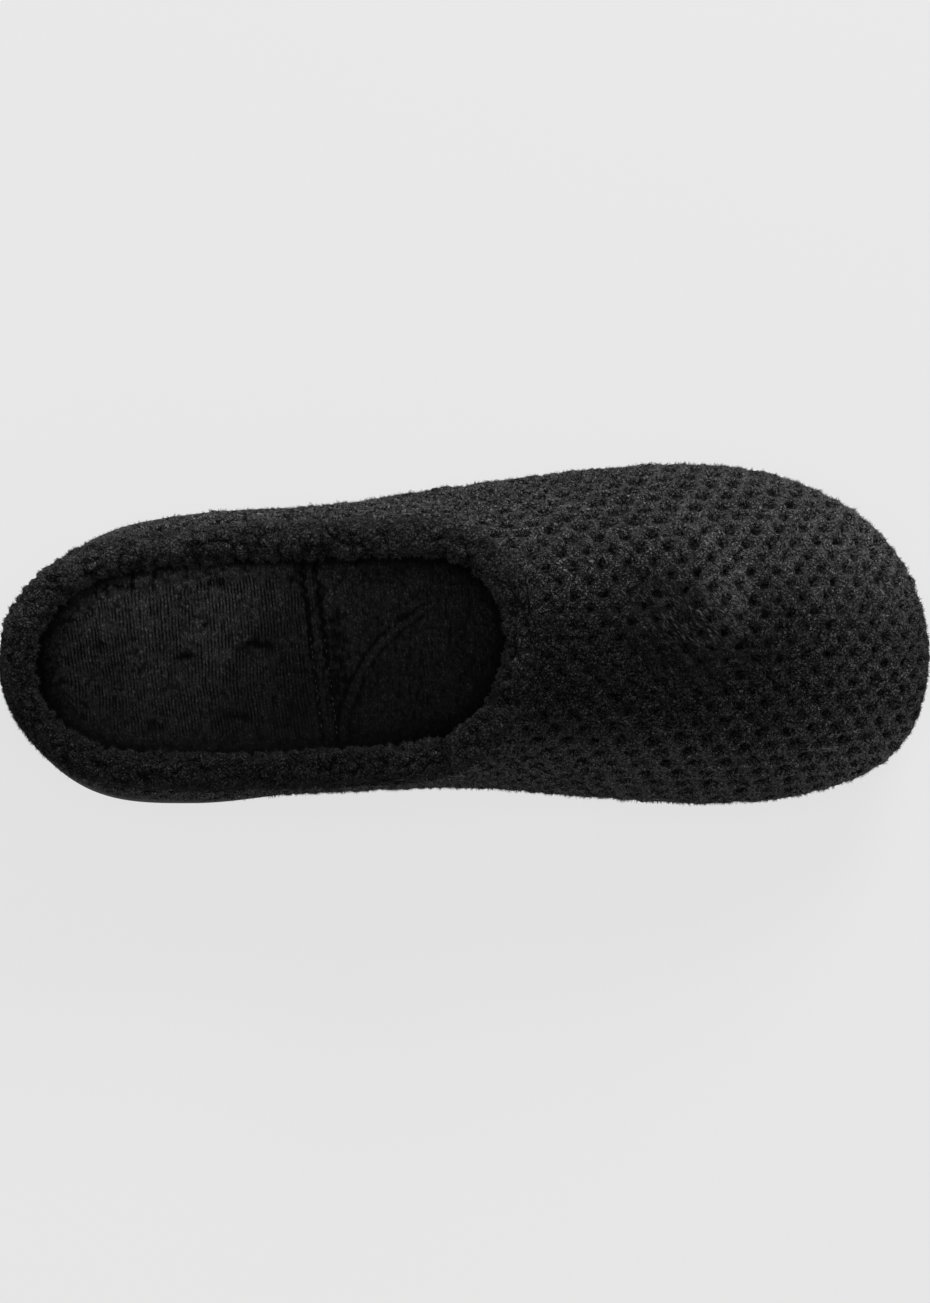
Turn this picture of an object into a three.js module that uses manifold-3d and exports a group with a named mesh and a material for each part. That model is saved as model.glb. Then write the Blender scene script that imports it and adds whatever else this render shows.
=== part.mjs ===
// A plush house slipper for the left foot: a closed-toe upper with a low back, a padded collar roll
// round the foot opening, a soft insole and a thin rubber outsole.
// Millimetres. +X runs to the toe, +Y to the outer (lateral) side, +Z up. The outsole stands on z = 0.
import * as THREE from "three";
import { mergeVertices } from "three/addons/utils/BufferGeometryUtils.js";
import Module from "manifold-3d";

const wasm = await Module();
wasm.setup();

// The outline
const LENGTH = 258; // heel of the outsole to the tip of the toe
const BALL_WIDTH = 94; // across the upper at the ball of the foot
const FIT_GAP = 0.3; // between pieces that touch

// The upper
const UPPER_WALL = 3.5; // plush cloth, foam and lining together
const TUCK = 3; // how far the toe of the upper stands out over its foot
const WIDEST_RISE = 9; // from the outsole's top to the widest line of the upper
const TOE_SHOULDER = 26; // from the outsole's top to the top of the toe box, carried to the toe's tip
const VAMP_ROUNDING = 46; // how far inwards the vamp takes to turn from wall to top
const VAMP_BOW = 0.13; // how far the vamp bows up, as a share of its length from toe to throat

// The collar roll, measured on the centre line of the roll
const COLLAR_SETBACK = 8.4; // from the heel of the outsole to the roll
const COLLAR_LENGTH = 136.8;
const COLLAR_WIDTH = 60.4;
const COLLAR_THICKNESS = 11.5; // across the roll
const COLLAR_DEPTH = 12.6; // from the roll's top to its underside
const THROAT_HEIGHT = 64; // of the roll's centre above the floor, over the instep
const SEAM_LIP = 1.3; // how far the upper's edge stands proud of the roll, over the instep

// The outsole
const SOLE_HEEL = 12; // thickness under the heel
const SOLE_BALL = 9; // thickness under the ball of the foot
const SOLE_LIP = 1.5; // how far the outsole's edge stands out past the foot of the upper
const SOLE_BOTTOM_EDGE = 2; // rounding of its lower edge
const SOLE_TOP_EDGE = 0.8; // rounding of its upper edge
const TOE_SPRING = 7;
const HEEL_BEVEL = 2;
const ARCH_RISE = 3; // the waist clears the floor by this much on the inner side
const TREAD_DEPTH = 1.6;
const TREAD_GROOVE = 2.4;
const TREAD_PITCH = 9.5;
const TREAD_BORDER = 7;
const TREAD_WAVE = 4; // half the height of a groove's zigzag
const TREAD_WAVE_PITCH = 16; // one zig and one zag across the sole

// The insole
const INSOLE_THICKNESS = 6;
const INSOLE_CUP = 2.5; // how much its edge rises
const ARCH_PAD = 3; // how much it rises under the arch

// Rows run from the heel to the toe in even stations. The station's place along the length is a
// cosine, so that both ends come out round.
//   centre    middle of the outline, in half ball widths, towards the lateral side
//   fullness  half width of the outline before the rounding, in half ball widths
//   tuck      how far the upper's foot lies inside its widest line, in TUCK
//   rounding  distance from the widest line to the flat of the top, in VAMP_ROUNDING
//   shoulder  height of the top surface carried out to the outline, in TOE_SHOULDER
//   reach     station of the collar that this section's profile runs up to
const SECTIONS = [
  { centre: -0.19, fullness: 1.16, tuck: 0.17, rounding: 0.36, shoulder: 0.95, reach: 0 },
  { centre: -0.188, fullness: 1.19, tuck: 0.2, rounding: 0.36, shoulder: 0.95, reach: 0.1 },
  { centre: -0.183, fullness: 1.225, tuck: 0.25, rounding: 0.38, shoulder: 0.95, reach: 0.215 },
  { centre: -0.15, fullness: 1.05, tuck: 0.35, rounding: 0.42, shoulder: 0.95, reach: 0.37 },
  { centre: -0.09, fullness: 0.885, tuck: 0.5, rounding: 0.5, shoulder: 1.0, reach: 0.57 },
  { centre: -0.015, fullness: 0.887, tuck: 0.6, rounding: 0.72, shoulder: 1.15, reach: 0.755 },
  { centre: 0.005, fullness: 1.022, tuck: 0.7, rounding: 1.02, shoulder: 1.3, reach: 0.865 },
  { centre: -0.004, fullness: 1.222, tuck: 0.75, rounding: 1.15, shoulder: 1.25, reach: 0.915 },
  { centre: -0.05, fullness: 1.412, tuck: 0.85, rounding: 1.08, shoulder: 1.12, reach: 0.948 },
  { centre: -0.108, fullness: 1.605, tuck: 0.95, rounding: 0.93, shoulder: 1.03, reach: 0.975 },
  { centre: -0.14, fullness: 1.6, tuck: 1, rounding: 0.85, shoulder: 1, reach: 1 },
];

// The collar's own even stations, from its back to the throat, in the same way.
//   centre    middle of the roll's centre line, in half ball widths
//   fullness  half width of the centre line before the rounding, in half collar widths
//   height    of the roll's centre, in THROAT_HEIGHT
//   seam      angle on the roll where the upper joins it, in degrees above the outward direction
const COLLAR = [
  { centre: -0.18, fullness: 1.36, height: 0.695, seam: -25 },
  { centre: -0.175, fullness: 1.31, height: 0.672, seam: -22 },
  { centre: -0.15, fullness: 1.065, height: 0.645, seam: -20 },
  { centre: -0.116, fullness: 1.065, height: 0.715, seam: -14 },
  { centre: -0.072, fullness: 1.41, height: 0.895, seam: 10 },
  { centre: -0.025, fullness: 1.56, height: 1, seam: 72 },
];

// Places along the length, in half lengths from the middle of the slipper
const HEEL_BEVEL_START = -0.84;
const ARCH_BACK = -0.36;
const ARCH_FRONT = 0.14;
const SOLE_TAPER_BACK = -0.35;
const SOLE_TAPER_FRONT = 0.35;
const TOE_SPRING_START = 0.52;
const TREAD_HEEL_BACK = -0.84;
const TREAD_HEEL_FRONT = -0.4;
const TREAD_BALL_BACK = 0.1;
const TREAD_BALL_FRONT = 0.84;

// How finely the solids are faceted
const STATIONS = 32; // along each side, heel to toe
const ROLL_SIDES = 12;
const FOOT_ROWS = 3; // rows of faces from the upper's foot to its widest line
const TOP_ROWS = 11; // rows from the widest line to the collar
const CAP_COLUMNS = 6; // across the insole and the outsole

const half = (size) => size / 2;
const radians = (degrees) => (degrees * Math.PI) / 180;
const lerp = (a, b, f) => a + (b - a) * f;
const clamp01 = (f) => Math.min(1, Math.max(0, f));
const smooth = (f) => clamp01(f) ** 2 * (3 - 2 * clamp01(f));

// A column of an even table at a station from 0 to 1, on a smooth curve that is level at both ends.
function column(table, name, station) {
  const last = table.length - 1;
  const at = Math.min(station * last, last - 1e-9);
  const row = Math.floor(at);
  const f = at - row;
  const value = (r) => table[r < 0 ? -r : r > last ? 2 * last - r : r][name];
  const [a, b, c, d] = [value(row - 1), value(row), value(row + 1), value(row + 2)];
  return b + half(f * (c - a + f * (2 * a - 5 * b + 4 * c - d + f * (3 * (b - c) + d - a))));
}

// A place round a loop, t, runs from 0 at the heel along the lateral side to 0.5 at the toe and back
// along the medial side to 1.
const around = (t) => ((t % 1) + 1) % 1;
const stationOf = (t) => 1 - Math.abs(1 - 2 * around(t));
const sideOf = (t) => (around(t) <= 0.5 ? 1 : -1);

// The upper's widest line, seen from above
const UPPER_BACK = -half(LENGTH) + SOLE_LIP - TUCK * SECTIONS[0].tuck;
const UPPER_FRONT = half(LENGTH);

function loop(t, back, front, centre, halfWidth) {
  const angle = Math.PI * stationOf(t);
  const x = half(back + front) - half(front - back) * Math.cos(angle);
  return new THREE.Vector3(x, centre + sideOf(t) * halfWidth * Math.sin(angle), 0);
}

function widestLine(t) {
  const s = stationOf(t);
  const centre = column(SECTIONS, "centre", s) * half(BALL_WIDTH);
  const halfWidth = column(SECTIONS, "fullness", s) * half(BALL_WIDTH);
  return loop(t, UPPER_BACK, UPPER_FRONT, centre, halfWidth);
}

// The level outward direction of a loop at t
function outward(line, t) {
  const step = 1e-4;
  const along = line(t + step).sub(line(t - step));
  return new THREE.Vector3(-along.y, along.x, 0).normalize();
}

function offsetLine(line, distance) {
  return (t) => line(t).addScaledVector(outward(line, t), distance(stationOf(t)));
}

const tuck = (s) => column(SECTIONS, "tuck", s) * TUCK;
const footLine = offsetLine(widestLine, (s) => -tuck(s));
const soleLine = offsetLine(widestLine, (s) => SOLE_LIP - tuck(s));

// The outsole's height above the floor and its thickness
const place = (x) => x / half(LENGTH);
const toeSpring = (x) =>
  TOE_SPRING * clamp01((place(x) - TOE_SPRING_START) / (1 - TOE_SPRING_START)) ** 2;
const heelBevel = (x) =>
  HEEL_BEVEL * clamp01((HEEL_BEVEL_START - place(x)) / (1 + HEEL_BEVEL_START)) ** 2;
const soleTop = (x) => {
  const taper = smooth((place(x) - SOLE_TAPER_BACK) / (SOLE_TAPER_FRONT - SOLE_TAPER_BACK));
  return toeSpring(x) + lerp(SOLE_HEEL, SOLE_BALL, taper);
};

// How far along the waist a place is, from 0 at either end to 1 in the middle
const waist = (x) =>
  Math.sin(Math.PI * clamp01((place(x) - ARCH_BACK) / (ARCH_FRONT - ARCH_BACK))) ** 2;

// The arch is highest on the medial side and leaves the lateral side nearly down.
const medial = (y) => smooth(0.5 - y / BALL_WIDTH);
const soleBottom = (x, y) => toeSpring(x) + heelBevel(x) + ARCH_RISE * waist(x) * lerp(0.35, 1, medial(y));

// The collar roll
const COLLAR_BACK = -half(LENGTH) + COLLAR_SETBACK;

function collarLine(t) {
  const s = stationOf(t);
  const centre = column(COLLAR, "centre", s) * half(BALL_WIDTH);
  const halfWidth = column(COLLAR, "fullness", s) * half(COLLAR_WIDTH);
  const point = loop(t, COLLAR_BACK, COLLAR_BACK + COLLAR_LENGTH, centre, halfWidth);
  point.z = column(COLLAR, "height", s) * THROAT_HEIGHT;
  return point;
}

// A point on the roll's skin, grown by `more`, at an angle above its outward direction
function rollPoint(t, angle, more) {
  const point = collarLine(t);
  point.addScaledVector(outward(collarLine, t), (half(COLLAR_THICKNESS) + more) * Math.cos(angle));
  point.z += (half(COLLAR_DEPTH) + more) * Math.sin(angle);
  return point;
}

// The place round the collar that the upper's profile at t runs up to
function reachOf(t) {
  const reach = column(SECTIONS, "reach", stationOf(t));
  return sideOf(t) > 0 ? half(reach) : 1 - half(reach);
}

// A quarter round from 0 at the widest line to 1 at its full distance
const quarter = (f) => Math.sqrt(1 - (1 - clamp01(f)) ** 2);

// The upper's outer skin. `rise` runs from -1 at its foot, through 0 at the widest line, to 1 at the
// seam with the collar.
function outerSkin(t, rise) {
  const s = stationOf(t);
  const widest = widestLine(t);
  const foot = soleTop(widest.x);
  const widestHeight = foot + WIDEST_RISE;
  if (rise <= 0) {
    const under = 1 - quarter(1 + rise);
    const point = widest.addScaledVector(outward(widestLine, t), -tuck(s) * under);
    point.z = lerp(foot, widestHeight, 1 + rise) - (rise === -1 ? half(UPPER_WALL) : 0);
    return point;
  }
  const to = reachOf(t);
  const angle = radians(column(COLLAR, "seam", stationOf(to)));
  const seam = rollPoint(to, angle, SEAM_LIP * Math.max(0, Math.sin(angle)));
  const run = Math.hypot(seam.x - widest.x, seam.y - widest.y);
  const inwards = rise ** 2;
  const rounding = column(SECTIONS, "rounding", s) * VAMP_ROUNDING;
  const turned = quarter((run * inwards) / rounding) / quarter(run / rounding);
  const shoulder = foot + column(SECTIONS, "shoulder", s) * TOE_SHOULDER;
  const top = lerp(shoulder, seam.z, inwards) + VAMP_BOW * run * inwards * (1 - inwards);
  return new THREE.Vector3(
    lerp(widest.x, seam.x, inwards),
    lerp(widest.y, seam.y, inwards),
    lerp(widestHeight, top, turned),
  );
}

// The same skin, moved `depth` into the wall along its own normal
function upperSkin(t, rise, depth) {
  const step = 1e-3;
  const [low, high] = [Math.max(-1, rise - step), Math.min(1, rise + step)];
  const along = outerSkin(t + step, rise).sub(outerSkin(t - step, rise));
  const up = rise < 0 ? new THREE.Vector3(0, 0, 1) : outerSkin(t, high).sub(outerSkin(t, Math.max(0, low)));
  const normal = up.cross(along).normalize();
  return outerSkin(t, rise).addScaledVector(normal, -depth);
}

// A closed skin built up from rings of points and turned into a solid
class Skin {
  points = [];
  faces = [];

  // Adds one point for each place round a loop and returns their numbers.
  ring(pointAt) {
    return Array.from({ length: 2 * STATIONS }, (_, i) => this.add(pointAt(i / (2 * STATIONS))));
  }

  add(point) {
    return this.points.push(point) - 1;
  }

  quad(a, b, c, d) {
    this.faces.push(a, b, c, a, c, d);
  }

  // A band of faces from one ring to the next, facing out when the next lies above
  band(from, to) {
    from.forEach((a, i) => {
      const next = (i + 1) % from.length;
      this.quad(a, to[i], to[next], from[next]);
    });
  }

  bands(rings) {
    rings.slice(1).forEach((next, i) => this.band(rings[i], next));
  }

  // Closes a ring with a surface from its lateral to its medial side
  cap(ring, heightAt, facesUp) {
    const rows = [];
    for (let k = 0; k <= STATIONS; k++) {
      const [lateral, medialEnd] = [ring[k], ring[(2 * STATIONS - k) % (2 * STATIONS)]];
      if (lateral === medialEnd) {
        rows.push([lateral]);
        continue;
      }
      const inner = Array.from({ length: CAP_COLUMNS - 1 }, (_, j) => {
        const across = (j + 1) / CAP_COLUMNS;
        const point = this.points[lateral].clone().lerp(this.points[medialEnd], across);
        point.z = heightAt(point.x, point.y, across);
        return this.add(point);
      });
      rows.push([lateral, ...inner, medialEnd]);
    }
    rows.slice(1).forEach((next, k) => this.rows(rows[k], next, facesUp));
  }

  // Faces between two rows of a cap, either of which may be a single point at an end
  rows(back, front, facesUp) {
    const count = Math.max(back.length, front.length) - 1;
    for (let j = 0; j < count; j++) {
      const [a, d] = back.length > 1 ? [back[j], back[j + 1]] : [back[0], back[0]];
      const [b, c] = front.length > 1 ? [front[j], front[j + 1]] : [front[0], front[0]];
      const triangles = [[a, d, c], [a, c, b]].filter((face) => new Set(face).size === 3);
      triangles.forEach((face) => this.faces.push(...(facesUp ? face : face.reverse())));
    }
  }

  geometry() {
    const positions = this.points.flatMap((p) => [p.x, p.y, p.z]);
    return new THREE.BufferGeometry()
      .setAttribute("position", new THREE.Float32BufferAttribute(positions, 3))
      .setIndex(this.faces);
  }

  solid() {
    return solidOf(this.geometry());
  }
}

function solidOf(geometry) {
  geometry.deleteAttribute("normal");
  geometry.deleteAttribute("uv");
  const merged = mergeVertices(geometry, 1e-4);
  return new wasm.Manifold(
    new wasm.Mesh({
      numProp: 3,
      vertProperties: merged.attributes.position.array,
      triVerts: new Uint32Array(merged.index.array),
    }),
  );
}

function geometryOf(solid) {
  const mesh = solid.getMesh();
  const positions = new Float32Array(mesh.numVert * 3);
  for (let i = 0; i < mesh.numVert; i++) {
    positions.set(mesh.vertProperties.subarray(i * mesh.numProp, i * mesh.numProp + 3), i * 3);
  }
  const geometry = new THREE.BufferGeometry()
    .setAttribute("position", new THREE.BufferAttribute(positions, 3))
    .setIndex(new THREE.BufferAttribute(new Uint32Array(mesh.triVerts), 1));
  geometry.computeVertexNormals();
  return geometry;
}

// A plate inside a line, between two surfaces. Its edge rows give how far out of the line each ring
// lies and how high between the two surfaces.
function plate(line, edge, bottom, top, topCap = top) {
  const skin = new Skin();
  const rings = edge.map(({ out, up }) =>
    skin.ring((t) => {
      const point = offsetLine(line, () => out)(t);
      point.z = lerp(bottom(point.x, point.y), top(point.x, point.y), up);
      return point;
    }),
  );
  skin.bands(rings);
  skin.cap(rings[0], bottom, false);
  skin.cap(rings.at(-1), topCap, true);
  return skin.solid();
}

// The roll, grown by `more`
function collarSolid(more = 0) {
  const skin = new Skin();
  const rings = Array.from({ length: ROLL_SIDES }, (_, side) =>
    skin.ring((t) => rollPoint(t, (2 * Math.PI * side) / ROLL_SIDES, more)),
  );
  skin.bands([...rings, rings[0]]);
  return skin.solid();
}

const RISES = [
  ...Array.from({ length: FOOT_ROWS }, (_, i) => i / FOOT_ROWS - 1),
  ...Array.from({ length: TOP_ROWS + 1 }, (_, i) => i / TOP_ROWS),
];

// Everything below the outsole's top and the gap over it
function groundBlock() {
  const margin = 2 * COLLAR_THICKNESS;
  const edge = [{ out: margin, up: 0 }, { out: margin, up: 1 }];
  return plate(widestLine, edge, () => -LENGTH, (x) => soleTop(x) + FIT_GAP);
}

function upperSolid() {
  const skin = new Skin();
  const outer = RISES.map((rise) => skin.ring((t) => outerSkin(t, rise)));
  const inner = RISES.map((rise) => skin.ring((t) => upperSkin(t, rise, UPPER_WALL)));
  skin.bands([...outer, ...inner.reverse(), outer[0]]);
  return skin.solid().subtract(collarSolid(FIT_GAP)).subtract(groundBlock());
}

// The room inside the upper, less the gap, closed over the collar
function insideSolid() {
  const skin = new Skin();
  const rings = RISES.map((rise) => skin.ring((t) => upperSkin(t, rise, UPPER_WALL + FIT_GAP)));
  skin.bands(rings);
  const level = (ring) => skin.points[ring[0]].z;
  skin.cap(rings[0], (x) => soleTop(x) - half(UPPER_WALL), false);
  skin.cap(rings.at(-1), () => level(rings.at(-1)), true);
  return skin.solid();
}

// The insole's top: level in the middle, with a raised rim and a pad under the arch
function insoleTop(x, y) {
  const back = UPPER_BACK;
  const s = Math.acos(1 - (2 * clamp01((x - back) / (UPPER_FRONT - back)))) / Math.PI;
  const centre = column(SECTIONS, "centre", s) * half(BALL_WIDTH);
  const reachToEdge = column(SECTIONS, "fullness", s) * half(BALL_WIDTH) * Math.sin(Math.PI * s) + 1e-6;
  const across = Math.min(1, Math.abs(y - centre) / reachToEdge);
  const lengthwise = Math.abs(2 * s - 1);
  const cup = INSOLE_CUP * Math.max(across ** 4, lengthwise ** 8);
  const pad = ARCH_PAD * waist(x) * smooth((centre - y) / reachToEdge);
  return soleTop(x) + FIT_GAP + INSOLE_THICKNESS + cup + pad;
}

function insoleSolid() {
  const edge = [{ out: 0, up: 0 }, { out: 0, up: 1 }];
  const slab = plate(footLine, edge, (x) => soleTop(x) + FIT_GAP, insoleTop);
  return slab.intersect(insideSolid());
}

// One groove of the tread: a zigzag band across the sole at x
function groove(x) {
  const bends = 2 * Math.ceil(BALL_WIDTH / TREAD_WAVE_PITCH);
  const zigzag = Array.from({ length: 2 * bends + 1 }, (_, i) => [
    x + (i % 2 ? TREAD_WAVE : -TREAD_WAVE) / 2,
    half((i - bends) * TREAD_WAVE_PITCH),
  ]);
  const front = zigzag.map(([gx, gy]) => [gx + half(TREAD_GROOVE), gy]);
  const back = zigzag.map(([gx, gy]) => [gx - half(TREAD_GROOVE), gy]).reverse();
  const outline = new THREE.Shape([...front, ...back].map(([gx, gy]) => new THREE.Vector2(gx, gy)));
  const height = LENGTH + soleBottom(x, half(BALL_WIDTH)) + TREAD_DEPTH;
  const band = new THREE.ExtrudeGeometry(outline, { depth: height, bevelEnabled: false });
  band.translate(0, 0, -LENGTH);
  return solidOf(band);
}

function treadPlaces(back, front) {
  const length = (front - back) * half(LENGTH);
  const count = Math.max(1, Math.round(length / TREAD_PITCH));
  return Array.from({ length: count }, (_, i) => back * half(LENGTH) + (i + 0.5) * TREAD_PITCH);
}

function outsoleSolid() {
  const edge = [
    { out: -SOLE_BOTTOM_EDGE, up: 0 },
    { out: -SOLE_BOTTOM_EDGE * 0.3, up: (SOLE_BOTTOM_EDGE * 0.3) / SOLE_BALL },
    { out: 0, up: SOLE_BOTTOM_EDGE / SOLE_BALL },
    { out: 0, up: 1 - SOLE_TOP_EDGE / SOLE_BALL },
    { out: -SOLE_TOP_EDGE, up: 1 },
  ];
  const body = plate(soleLine, edge, soleBottom, soleTop);
  const inside = [{ out: -TREAD_BORDER, up: 0 }, { out: -TREAD_BORDER, up: 1 }];
  const field = plate(soleLine, inside, () => -LENGTH, soleTop);
  const places = [
    ...treadPlaces(TREAD_HEEL_BACK, TREAD_HEEL_FRONT),
    ...treadPlaces(TREAD_BALL_BACK, TREAD_BALL_FRONT),
  ];
  const grooves = places.map(groove).reduce((all, one) => all.add(one));
  return body.subtract(grooves.intersect(field));
}

function piece(name, solid, color, roughness) {
  const material = new THREE.MeshStandardMaterial({ color, roughness, metalness: 0 });
  const mesh = new THREE.Mesh(geometryOf(solid), material);
  mesh.name = name;
  return mesh;
}

const slipper = new THREE.Group();
slipper.add(
  piece("outsole", outsoleSolid(), 0x1c1c1d, 0.6),
  piece("insole", insoleSolid(), 0x161616, 0.95),
  piece("upper", upperSolid(), 0x1b1b1b, 1),
  piece("collar", collarSolid(), 0x171717, 1),
);

export default slipper;
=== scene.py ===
"""Dresses the plush house slipper: dimpled upper, padded collar, ribbed insole, rubber outsole, studio."""

import math

import bpy
import bmesh
import numpy as np
from bpy.props import FloatProperty, FloatVectorProperty, IntProperty, PointerProperty
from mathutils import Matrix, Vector, noise
from mathutils.kdtree import KDTree


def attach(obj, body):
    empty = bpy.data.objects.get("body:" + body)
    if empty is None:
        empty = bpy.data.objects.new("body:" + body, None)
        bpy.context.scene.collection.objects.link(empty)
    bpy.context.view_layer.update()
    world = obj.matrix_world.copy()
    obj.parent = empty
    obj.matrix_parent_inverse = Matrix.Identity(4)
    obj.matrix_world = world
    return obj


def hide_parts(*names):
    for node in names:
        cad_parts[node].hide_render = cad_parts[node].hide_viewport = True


bl_info = {
    "name": "Plush House Slipper",
    "version": (1, 0, 0),
    "blender": (4, 5, 0),
    "location": "3D View > Sidebar > Slipper",
    "description": "Builds a plush house slipper from named sizes",
    "category": "Add Mesh",
}

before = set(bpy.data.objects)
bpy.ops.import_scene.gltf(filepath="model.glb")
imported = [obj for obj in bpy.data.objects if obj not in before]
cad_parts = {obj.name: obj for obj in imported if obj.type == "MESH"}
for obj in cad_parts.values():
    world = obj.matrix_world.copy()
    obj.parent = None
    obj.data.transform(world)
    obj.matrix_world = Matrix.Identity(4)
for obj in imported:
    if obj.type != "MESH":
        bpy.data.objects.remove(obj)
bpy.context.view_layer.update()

MM = 0.001
TURN = 2 * math.pi


def table(columns, *rows):
    """Rows of a short table with named columns."""
    return [dict(zip(columns.split(), row)) for row in rows]


# Rows run from the heel to the toe in even stations. The station's place along the length is a cosine.
#   centre    middle of the outline, in half ball widths, towards the lateral side
#   fullness  half width of the outline before the rounding, in half ball widths
#   tuck      how far the upper's foot lies inside its widest line, in the form's tuck
#   rounding  distance from the widest line to the flat of the top, in the vamp's rounding
#   shoulder  height of the top surface carried out to the outline, in the toe shoulder
#   reach     station of the collar that this section's profile runs up to
SECTIONS = table(
    "centre fullness tuck rounding shoulder reach",
    (-0.19, 1.16, 0.17, 0.36, 0.95, 0),
    (-0.188, 1.19, 0.2, 0.36, 0.95, 0.1),
    (-0.183, 1.225, 0.25, 0.38, 0.95, 0.215),
    (-0.15, 1.05, 0.35, 0.42, 0.95, 0.37),
    (-0.09, 0.885, 0.5, 0.5, 1.0, 0.57),
    (-0.015, 0.887, 0.6, 0.72, 1.15, 0.755),
    (0.005, 1.022, 0.7, 1.02, 1.3, 0.865),
    (-0.004, 1.222, 0.75, 1.15, 1.25, 0.915),
    (-0.05, 1.412, 0.85, 1.08, 1.12, 0.948),
    (-0.108, 1.605, 0.95, 0.93, 1.03, 0.975),
    (-0.14, 1.6, 1, 0.85, 1, 1),
)

# The collar's own even stations, from its back to the throat.
#   centre    middle of the roll's centre line, in half ball widths
#   fullness  half width of the centre line before the rounding, in half collar widths
#   height    of the roll's centre, in the throat's height
#   seam      angle on the roll where the upper joins it, in degrees above the outward direction
COLLAR = table(
    "centre fullness height seam",
    (-0.18, 1.36, 0.695, -25),
    (-0.175, 1.31, 0.672, -22),
    (-0.15, 1.065, 0.645, -20),
    (-0.116, 1.065, 0.715, -14),
    (-0.072, 1.41, 0.895, 10),
    (-0.025, 1.56, 1, 72),
)

# Soft ridges and troughs of the vamp. Places are in half lengths and half ball widths from the middle.
CREASES = table(
    "back front width height",
    ((0.50, 0.55), (0.59, 0.01), 5.5, 1.1),
    ((0.34, 0.33), (0.53, -0.02), 5.0, -1.0),
    ((0.16, -0.30), (0.30, -0.42), 9.0, -0.7),
)

# Cross seams of the insole: where each crosses the middle line, and how far it leans. Millimetres.
CROSS_SEAMS = [dict(middle=-42.4, lean=-0.122), dict(middle=-38.5, lean=-0.131)]

# The raised forefoot seam of the insole, from its medial end: its middle and its half width, in millimetres
ARC_SEAM = table(
    "x y half",
    (-33.4, -31.0, 1.5),
    (-32.6, -21.8, 1.5),
    (-29.6, -14.2, 1.4),
    (-26.3, -7.7, 1.3),
    (-22.3, -2.2, 1.2),
    (-16.8, 2.3, 1.1),
    (-10.2, 7.0, 0.9),
)

# Pinched spots of the insole: place, length along the slipper and depth, in millimetres
PINCHES = table(
    "at length depth",
    ((-94.3, 12.8), 5.0, 0.6),
    ((-68.5, 13.9), 2.6, 0.6),
    ((-56.3, -2.7), 3.6, 1.1),
    ((-76.6, -5.8), 2.2, 0.8),
    ((-101.0, -3.6), 1.6, 0.7),
    ((-106.6, -5.2), 1.4, 0.6),
    ((-62.4, -23.3), 3.2, 0.9),
    ((-85.2, -26.1), 2.0, 0.8),
    ((-34.4, -0.5), 1.4, 0.7),
    ((-35.5, 3.9), 1.4, 0.6),
)


def size(name, description, default):
    """A length that a user may change, in metres."""
    return FloatProperty(name=name, description=description, default=default, unit="LENGTH", precision=4)


def colour(name, description, default):
    """A colour that a user may change."""
    kind = dict(size=4, subtype="COLOR", min=0, max=1)
    return FloatVectorProperty(name=name, description=description, default=default, **kind)


class SlipperForm(bpy.types.PropertyGroup):
    """The sizes of the slipper's form"""

    length: size("Length", "From the heel of the outsole to the toe", 0.258)
    ball_width: size("Ball width", "Across the upper at the ball of the foot", 0.094)
    fit_gap: size("Gap", "Between pieces that touch", 0.0003)
    wall: size("Upper wall", "Plush cloth, foam and lining together", 0.0035)
    tuck: size("Tuck", "How far the toe stands out over its foot", 0.003)
    widest_rise: size("Widest rise", "From the outsole's top to the widest line", 0.009)
    toe_shoulder: size("Toe shoulder", "From the outsole's top to the top of the toe box", 0.026)
    vamp_rounding: size("Vamp rounding", "How far inwards the vamp turns from wall to top", 0.046)
    vamp_bow: FloatProperty(
        name="Vamp bow", description="Bow of the vamp, in its length", default=0.13, subtype="FACTOR"
    )
    collar_setback: size("Collar setback", "From the heel of the outsole to the roll", 0.0084)
    collar_length: size("Collar length", "Of the roll's centre line", 0.1368)
    collar_width: size("Collar width", "Of the roll's centre line", 0.0604)
    collar_thickness: size("Collar thickness", "Across the roll", 0.0115)
    collar_depth: size("Collar depth", "From the roll's top to its underside", 0.0126)
    throat_height: size("Throat height", "Of the roll's centre over the instep", 0.064)
    seam_lip: size("Seam lip", "How far the upper's edge stands proud of the roll", 0.0006)
    sole_heel: size("Sole at the heel", "Thickness of the outsole", 0.012)
    sole_ball: size("Sole at the ball", "Thickness of the outsole", 0.009)
    sole_lip: size("Sole lip", "How far the outsole stands out past the upper's foot", 0.0015)
    toe_spring: size("Toe spring", "How far the toe is turned up", 0.007)
    insole_thickness: size("Insole thickness", "In the middle", 0.006)
    insole_cup: size("Insole cup", "How much the insole's edge rises", 0.0025)
    arch_pad: size("Arch pad", "How much the insole rises under the arch", 0.003)


class PlushForm(bpy.types.PropertyGroup):
    """The sizes of the plush, its dimples and its pile"""

    dimple_pitch: size("Dimple pitch", "Along a row of dimples", 0.0075)
    dimple_rows: size("Dimple rows", "From one row of dimples to the next", 0.0041)
    dimple_depth: size("Dimple depth", "Of the dimples", 0.0021)
    pile_inset: size("Pile inset", "How far the cloth lies under the tips of its pile", 0.0008)
    pile_length: size("Pile length", "Of the longest strands", 0.00105)
    pile_width: size("Pile width", "Of a strand at its root", 0.00025)
    tuft: size("Tuft", "Distance between tufts of the pile", 0.00108)
    strands: IntProperty(name="Strands", description="Strands in a tuft", default=4, min=1)
    rib_pitch: size("Rib pitch", "Of the insole's ribs", 0.00094)


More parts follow.
